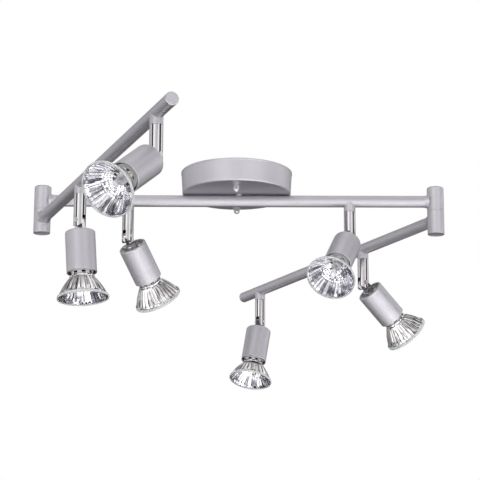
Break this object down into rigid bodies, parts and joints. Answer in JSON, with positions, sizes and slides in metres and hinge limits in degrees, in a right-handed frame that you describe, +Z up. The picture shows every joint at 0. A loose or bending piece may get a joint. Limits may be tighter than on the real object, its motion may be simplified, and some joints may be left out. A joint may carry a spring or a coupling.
{
  "type": "track lighting fixture",
  "caption": "Folding ceiling spotlight bar: round canopy, centre bar with a hinged arm at each end, and chrome-stemmed reflector-lamp heads that turn and tilt.",
  "frame": {"origin": "centre of the canopy's ceiling face, between the two ceiling box screw holes", "axes": "+Z up into the ceiling, +X along the centre bar to the right-hand knuckle, +Y towards the back; the fixture hangs in -Z"},
  "size_m": [0.4234, 0.7733, 0.1686],
  "materials": {
    "silver_paint": "satin metallic silver paint",
    "bright_chrome": "polished chrome plate",
    "zinc_steel": "zinc plated steel",
    "terminal_plastic": "moulded nylon",
    "lead_insulation": "silicone insulated wire",
    "plug_plastic": "dark grey moulded plug",
    "socket_ceramic": "unglazed steatite",
    "clear_glass": "clear pressed glass",
    "lamp_reflector": "aluminised glass bowl"
  },
  "bodies": {
    "root": {"canopy": "silver_paint", "mounting_bracket": "zinc_steel", "canopy_studs": "zinc_steel", "canopy_cap_nuts": "bright_chrome", "terminal_block": "terminal_plastic", "supply_leads": "lead_insulation", "bar_nipple": "zinc_steel", "centre_bar": "silver_paint"},
    "left_arm": {"left_arm": "silver_paint", "left_arm_end_cap": "silver_paint", "left_pivot_bolt": "zinc_steel", "left_knuckle_plug": "plug_plastic", "left_arm_leads": "lead_insulation"},
    "right_arm": {"right_arm": "silver_paint", "right_arm_end_cap": "silver_paint", "right_pivot_bolt": "zinc_steel", "right_knuckle_plug": "plug_plastic", "right_arm_leads": "lead_insulation"},
    "stem_1": {"stem_1": "bright_chrome"},
    "head_1": {"tongue_1": "bright_chrome", "head_screws_1": "zinc_steel", "barrel_1": "silver_paint", "lamp_socket_1": "socket_ceramic", "lamp_1": "lamp_reflector", "lamp_glass_1": "clear_glass"},
    "stem_2": {"stem_2": "bright_chrome"},
    "head_2": {"tongue_2": "bright_chrome", "head_screws_2": "zinc_steel", "barrel_2": "silver_paint", "lamp_socket_2": "socket_ceramic", "lamp_2": "lamp_reflector", "lamp_glass_2": "clear_glass"},
    "stem_3": {"stem_3": "bright_chrome"},
    "head_3": {"tongue_3": "bright_chrome", "head_screws_3": "zinc_steel", "barrel_3": "silver_paint", "lamp_socket_3": "socket_ceramic", "lamp_3": "lamp_reflector", "lamp_glass_3": "clear_glass"},
    "stem_4": {"stem_4": "bright_chrome"},
    "head_4": {"tongue_4": "bright_chrome", "head_screws_4": "zinc_steel", "barrel_4": "silver_paint", "lamp_socket_4": "socket_ceramic", "lamp_4": "lamp_reflector", "lamp_glass_4": "clear_glass"},
    "stem_5": {"stem_5": "bright_chrome"},
    "head_5": {"tongue_5": "bright_chrome", "head_screws_5": "zinc_steel", "barrel_5": "silver_paint", "lamp_socket_5": "socket_ceramic", "lamp_5": "lamp_reflector", "lamp_glass_5": "clear_glass"},
    "stem_6": {"stem_6": "bright_chrome"},
    "head_6": {"tongue_6": "bright_chrome", "head_screws_6": "zinc_steel", "barrel_6": "silver_paint", "lamp_socket_6": "socket_ceramic", "lamp_6": "lamp_reflector", "lamp_glass_6": "clear_glass"}
  },
  "joints": [
    {"name": "left_arm_fold", "type": "hinge", "parent": "root", "child": "left_arm", "pos_m": [-0.2005, 0, -0.0396], "axis": [0, 0, 1], "range_deg": [-200, 30]},
    {"name": "right_arm_fold", "type": "hinge", "parent": "root", "child": "right_arm", "pos_m": [0.2055, 0, -0.0396], "axis": [0, 0, 1], "range_deg": [-200, 30]},
    {"name": "head_1_turn", "type": "hinge", "parent": "left_arm", "child": "stem_1", "pos_m": [-0.06604, -0.34309, -0.059], "axis": [0, 0, 1], "range_deg": [-140, 140]},
    {"name": "head_1_tilt", "type": "hinge", "parent": "stem_1", "child": "head_1", "pos_m": [-0.06604, -0.34309, -0.0871], "axis": [-0.8121, 0.5835, 0], "range_deg": [-124.1, 15.9]},
    {"name": "head_2_turn", "type": "hinge", "parent": "left_arm", "child": "stem_2", "pos_m": [-0.14945, -0.13026, -0.059], "axis": [0, 0, 1], "range_deg": [-140, 140]},
    {"name": "head_2_tilt", "type": "hinge", "parent": "stem_2", "child": "head_2", "pos_m": [-0.14945, -0.13026, -0.0871], "axis": [-0.6211, -0.7837, 0], "range_deg": [-75.4, 64.6]},
    {"name": "head_3_turn", "type": "hinge", "parent": "root", "child": "stem_3", "pos_m": [-0.1118, 0, -0.0395], "axis": [0, 0, 1], "range_deg": [-140, 140]},
    {"name": "head_3_tilt", "type": "hinge", "parent": "stem_3", "child": "head_3", "pos_m": [-0.1118, 0, -0.0676], "axis": [0.8171, -0.5764, 0], "range_deg": [-112.8, 27.2]},
    {"name": "head_4_turn", "type": "hinge", "parent": "root", "child": "stem_4", "pos_m": [0.1168, 0, -0.0395], "axis": [0, 0, 1], "range_deg": [-140, 140]},
    {"name": "head_4_tilt", "type": "hinge", "parent": "stem_4", "child": "head_4", "pos_m": [0.1168, 0, -0.0676], "axis": [-0.9121, 0.4099, 0], "range_deg": [-114.4, 25.6]},
    {"name": "head_5_turn", "type": "hinge", "parent": "right_arm", "child": "stem_5", "pos_m": [0.13746, 0.12224, -0.059], "axis": [0, 0, 1], "range_deg": [-140, 140]},
    {"name": "head_5_tilt", "type": "hinge", "parent": "stem_5", "child": "head_5", "pos_m": [0.13746, 0.12224, -0.0871], "axis": [0.5606, -0.8281, 0], "range_deg": [-120, 20]},
    {"name": "head_6_turn", "type": "hinge", "parent": "right_arm", "child": "stem_6", "pos_m": [0.02628, 0.32199, -0.059], "axis": [0, 0, 1], "range_deg": [-140, 140]},
    {"name": "head_6_tilt", "type": "hinge", "parent": "stem_6", "child": "head_6", "pos_m": [0.02628, 0.32199, -0.0871], "axis": [-0.8554, 0.518, 0], "range_deg": [-86.7, 53.3]}
  ]
}
